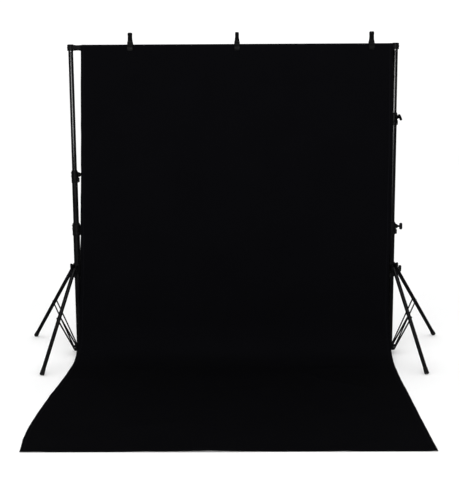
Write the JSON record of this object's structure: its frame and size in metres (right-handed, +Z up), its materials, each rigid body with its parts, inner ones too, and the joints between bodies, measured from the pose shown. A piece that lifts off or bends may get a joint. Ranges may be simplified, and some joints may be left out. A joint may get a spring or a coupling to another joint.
{
  "type": "photo backdrop support kit",
  "caption": "Freestanding photo backdrop kit: folding telescopic tripod stands, a crossbar, a black cloth swept onto the floor and spring clamps.",
  "frame": {"origin": "floor level, at the centre of the whole kit's footprint", "axes": "+X runs along the crossbar from the left stand to the right stand seen from the front, -Y is the front, where the cloth train lies, +Z is up"},
  "size_m": [2.7964, 2.22, 2.073],
  "materials": {
    "black_painted_metal": "satin black powder coat",
    "black_plastic": "matte moulded black",
    "black_rubber": "matte",
    "bright_steel": "brushed",
    "black_cloth": "matte woven black"
  },
  "bodies": {
    "left_base": {"left_base_tube": "black_painted_metal", "left_brace_hub": "black_plastic", "left_lower_collar": "black_plastic", "cloth_train": "black_cloth"},
    "left_mid": {"left_mid_tube": "black_painted_metal", "left_upper_collar": "black_plastic"},
    "left_leg_hub": {"left_leg_hub": "black_plastic"},
    "left_leg_hub_knob": {"left_leg_hub_knob": "black_plastic"},
    "left_lower_knob": {"left_lower_knob": "black_plastic"},
    "left_upper_knob": {"left_upper_knob": "black_plastic"},
    "left_leg_1": {"left_leg_1": "black_painted_metal", "left_foot_1": "black_rubber"},
    "left_brace_1": {"left_brace_1": "black_painted_metal"},
    "left_leg_2": {"left_leg_2": "black_painted_metal", "left_foot_2": "black_rubber"},
    "left_brace_2": {"left_brace_2": "black_painted_metal"},
    "left_leg_3": {"left_leg_3": "black_painted_metal", "left_foot_3": "black_rubber"},
    "left_brace_3": {"left_brace_3": "black_painted_metal"},
    "right_base": {"right_base_tube": "black_painted_metal", "right_brace_hub": "black_plastic", "right_lower_collar": "black_plastic"},
    "right_mid": {"right_mid_tube": "black_painted_metal", "right_upper_collar": "black_plastic"},
    "right_leg_hub": {"right_leg_hub": "black_plastic"},
    "right_leg_hub_knob": {"right_leg_hub_knob": "black_plastic"},
    "right_lower_knob": {"right_lower_knob": "black_plastic"},
    "right_upper_knob": {"right_upper_knob": "black_plastic"},
    "right_leg_1": {"right_leg_1": "black_painted_metal", "right_foot_1": "black_rubber"},
    "right_brace_1": {"right_brace_1": "black_painted_metal"},
    "right_leg_2": {"right_leg_2": "black_painted_metal", "right_foot_2": "black_rubber"},
    "right_brace_2": {"right_brace_2": "black_painted_metal"},
    "right_leg_3": {"right_leg_3": "black_painted_metal", "right_foot_3": "black_rubber"},
    "right_brace_3": {"right_brace_3": "black_painted_metal"},
    "crossbar": {"left_top_tube": "black_painted_metal", "left_spigot": "bright_steel", "left_end_fitting": "black_plastic", "crossbar_section_1": "black_painted_metal", "crossbar_section_2": "black_painted_metal", "crossbar_section_3": "black_painted_metal", "crossbar_section_4": "black_painted_metal", "right_end_fitting": "black_plastic", "right_spigot": "bright_steel", "right_top_tube": "black_painted_metal", "cloth_wrap": "black_cloth", "cloth_panel": "black_cloth", "clamp_1_pin": "bright_steel", "clamp_2_pin": "bright_steel", "clamp_3_pin": "bright_steel"},
    "clamp_1_front": {"clamp_1_front_arm": "black_plastic"},
    "clamp_1_back": {"clamp_1_back_arm": "black_plastic"},
    "clamp_2_front": {"clamp_2_front_arm": "black_plastic"},
    "clamp_2_back": {"clamp_2_back_arm": "black_plastic"},
    "clamp_3_front": {"clamp_3_front_arm": "black_plastic"},
    "clamp_3_back": {"clamp_3_back_arm": "black_plastic"}
  },
  "joints": [
    {"name": "left_mid_slide", "type": "slide", "parent": "left_base", "child": "left_mid", "axis": [0, 0, -1], "range_m": [0, 0.252]},
    {"name": "crossbar_height", "type": "slide", "parent": "left_mid", "child": "crossbar", "axis": [0, 0, -1], "range_m": [0, 0.71], "deforming": ["cloth_panel"]},
    {"name": "right_mid_slide", "type": "slide", "parent": "crossbar", "child": "right_mid", "axis": [0, 0, 1], "range_m": [0, 0.362]},
    {"name": "right_base_slide", "type": "slide", "parent": "right_mid", "child": "right_base", "axis": [0, 0, 1], "range_m": [0, 0.602]},
    {"name": "left_leg_fold", "type": "hinge", "parent": "left_base", "child": "left_brace_1", "pos_m": [-1.055, 0.73441, 0.03], "axis": [0.7396, 0.673, 0], "range_deg": [0, 37]},
    {"name": "left_leg_1_pivot", "type": "hinge", "parent": "left_brace_1", "child": "left_leg_1", "pos_m": [-1.21292, 0.90796, 0.29725], "axis": [-0.7396, -0.673, 0], "range_deg": [0, 75]},
    {"name": "left_hub_pivot", "type": "hinge", "parent": "left_leg_1", "child": "left_leg_hub", "pos_m": [-1.055, 0.73441, 0.5645], "axis": [0.7396, 0.673, 0], "range_deg": [0, 38]},
    {"name": "left_leg_2_pivot", "type": "hinge", "parent": "left_leg_hub", "child": "left_leg_2", "pos_m": [-1.03581, 0.64641, 0.5645], "axis": [0.9527, -0.304, 0], "range_deg": [0, 38]},
    {"name": "left_brace_2_pivot", "type": "hinge", "parent": "left_leg_2", "child": "left_brace_2", "pos_m": [-1.10715, 0.42287, 0.29725], "axis": [-0.9527, 0.304, 0], "range_deg": [0, 75]},
    {"name": "left_leg_3_pivot", "type": "hinge", "parent": "left_leg_hub", "child": "left_leg_3", "pos_m": [-0.96919, 0.70703, 0.5645], "axis": [-0.213, 0.977, 0], "range_deg": [0, 38]},
    {"name": "left_brace_3_pivot", "type": "hinge", "parent": "left_leg_3", "child": "left_brace_3", "pos_m": [-0.73993, 0.75701, 0.29725], "axis": [0.213, -0.977, 0], "range_deg": [0, 75]},
    {"name": "left_leg_hub_knob_turn", "type": "hinge", "parent": "left_leg_hub", "child": "left_leg_hub_knob", "pos_m": [-1.00632, 0.73882, 0.5605], "axis": [0.304, 0.9527, 0], "continuous": true},
    {"name": "left_lower_knob_turn", "type": "hinge", "parent": "left_base", "child": "left_lower_knob", "pos_m": [-0.97598, 0.70531, 0.837], "axis": [0.9781, 0.2079, 0], "continuous": true},
    {"name": "left_upper_knob_turn", "type": "hinge", "parent": "left_mid", "child": "left_upper_knob", "pos_m": [-0.97598, 0.70531, 1.18], "axis": [0.9781, 0.2079, 0], "continuous": true},
    {"name": "right_leg_fold", "type": "hinge", "parent": "right_base", "child": "right_brace_1", "pos_m": [1.055, 0.73441, 0.03], "axis": [0.7396, -0.673, 0], "range_deg": [0, 37]},
    {"name": "right_leg_1_pivot", "type": "hinge", "parent": "right_brace_1", "child": "right_leg_1", "pos_m": [1.21292, 0.90796, 0.29725], "axis": [-0.7396, 0.673, 0], "range_deg": [0, 75]},
    {"name": "right_hub_pivot", "type": "hinge", "parent": "right_leg_1", "child": "right_leg_hub", "pos_m": [1.055, 0.73441, 0.5645], "axis": [0.7396, -0.673, 0], "range_deg": [0, 38]},
    {"name": "right_leg_2_pivot", "type": "hinge", "parent": "right_leg_hub", "child": "right_leg_2", "pos_m": [1.03581, 0.64641, 0.5645], "axis": [0.9527, 0.304, 0], "range_deg": [0, 38]},
    {"name": "right_brace_2_pivot", "type": "hinge", "parent": "right_leg_2", "child": "right_brace_2", "pos_m": [1.10715, 0.42287, 0.29725], "axis": [-0.9527, -0.304, 0], "range_deg": [0, 75]},
    {"name": "right_leg_3_pivot", "type": "hinge", "parent": "right_leg_hub", "child": "right_leg_3", "pos_m": [0.96919, 0.70703, 0.5645], "axis": [-0.213, -0.977, 0], "range_deg": [0, 38]},
    {"name": "right_brace_3_pivot", "type": "hinge", "parent": "right_leg_3", "child": "right_brace_3", "pos_m": [0.73993, 0.75701, 0.29725], "axis": [0.213, 0.977, 0], "range_deg": [0, 75]},
    {"name": "right_leg_hub_knob_turn", "type": "hinge", "parent": "right_leg_hub", "child": "right_leg_hub_knob", "pos_m": [1.06397, 0.68636, 0.5605], "axis": [0.977, -0.213, 0], "continuous": true},
    {"name": "right_lower_knob_turn", "type": "hinge", "parent": "right_base", "child": "right_lower_knob", "pos_m": [1.06489, 0.69281, 0.837], "axis": [0.9976, -0.0698, 0], "continuous": true},
    {"name": "right_upper_knob_turn", "type": "hinge", "parent": "right_mid", "child": "right_upper_knob", "pos_m": [1.04385, 0.65779, 1.54], "axis": [0.5299, -0.848, 0], "continuous": true},
    {"name": "clamp_1_open", "type": "hinge", "parent": "crossbar", "child": "clamp_1_front", "pos_m": [-0.645, 0.69595, 2.015], "axis": [-1, 0, 0], "range_deg": [0, 24]},
    {"name": "clamp_1_back_pivot", "type": "hinge", "parent": "crossbar", "child": "clamp_1_back", "pos_m": [-0.645, 0.69595, 2.015], "axis": [1, 0, 0], "range_deg": [0, 25]},
    {"name": "clamp_2_open", "type": "hinge", "parent": "crossbar", "child": "clamp_2_front", "pos_m": [0.026, 0.69595, 2.015], "axis": [-1, 0, 0], "range_deg": [0, 24]},
    {"name": "clamp_2_back_pivot", "type": "hinge", "parent": "crossbar", "child": "clamp_2_back", "pos_m": [0.026, 0.69595, 2.015], "axis": [1, 0, 0], "range_deg": [0, 25]},
    {"name": "clamp_3_open", "type": "hinge", "parent": "crossbar", "child": "clamp_3_front", "pos_m": [0.869, 0.69595, 2.015], "axis": [-1, 0, 0], "range_deg": [0, 24]},
    {"name": "clamp_3_back_pivot", "type": "hinge", "parent": "crossbar", "child": "clamp_3_back", "pos_m": [0.869, 0.69595, 2.015], "axis": [1, 0, 0], "range_deg": [0, 25]}
  ],
  "couplings": [
    {"joint": "left_mid_slide", "follows": "crossbar_height", "ratio": 0.35211},
    {"joint": "right_mid_slide", "follows": "crossbar_height", "ratio": 0.50704},
    {"joint": "right_base_slide", "follows": "crossbar_height", "ratio": 0.84507},
    {"joint": "left_leg_1_pivot", "follows": "left_leg_fold", "ratio": 2},
    {"joint": "left_hub_pivot", "follows": "left_leg_fold", "ratio": 1},
    {"joint": "left_leg_2_pivot", "follows": "left_leg_fold", "ratio": 1},
    {"joint": "left_brace_2_pivot", "follows": "left_leg_fold", "ratio": 2},
    {"joint": "left_leg_3_pivot", "follows": "left_leg_fold", "ratio": 1},
    {"joint": "left_brace_3_pivot", "follows": "left_leg_fold", "ratio": 2},
    {"joint": "right_leg_1_pivot", "follows": "right_leg_fold", "ratio": 2},
    {"joint": "right_hub_pivot", "follows": "right_leg_fold", "ratio": 1},
    {"joint": "right_leg_2_pivot", "follows": "right_leg_fold", "ratio": 1},
    {"joint": "right_brace_2_pivot", "follows": "right_leg_fold", "ratio": 2},
    {"joint": "right_leg_3_pivot", "follows": "right_leg_fold", "ratio": 1},
    {"joint": "right_brace_3_pivot", "follows": "right_leg_fold", "ratio": 2},
    {"joint": "clamp_1_back_pivot", "follows": "clamp_1_open", "ratio": 1},
    {"joint": "clamp_2_back_pivot", "follows": "clamp_2_open", "ratio": 1},
    {"joint": "clamp_3_back_pivot", "follows": "clamp_3_open", "ratio": 1}
  ]
}
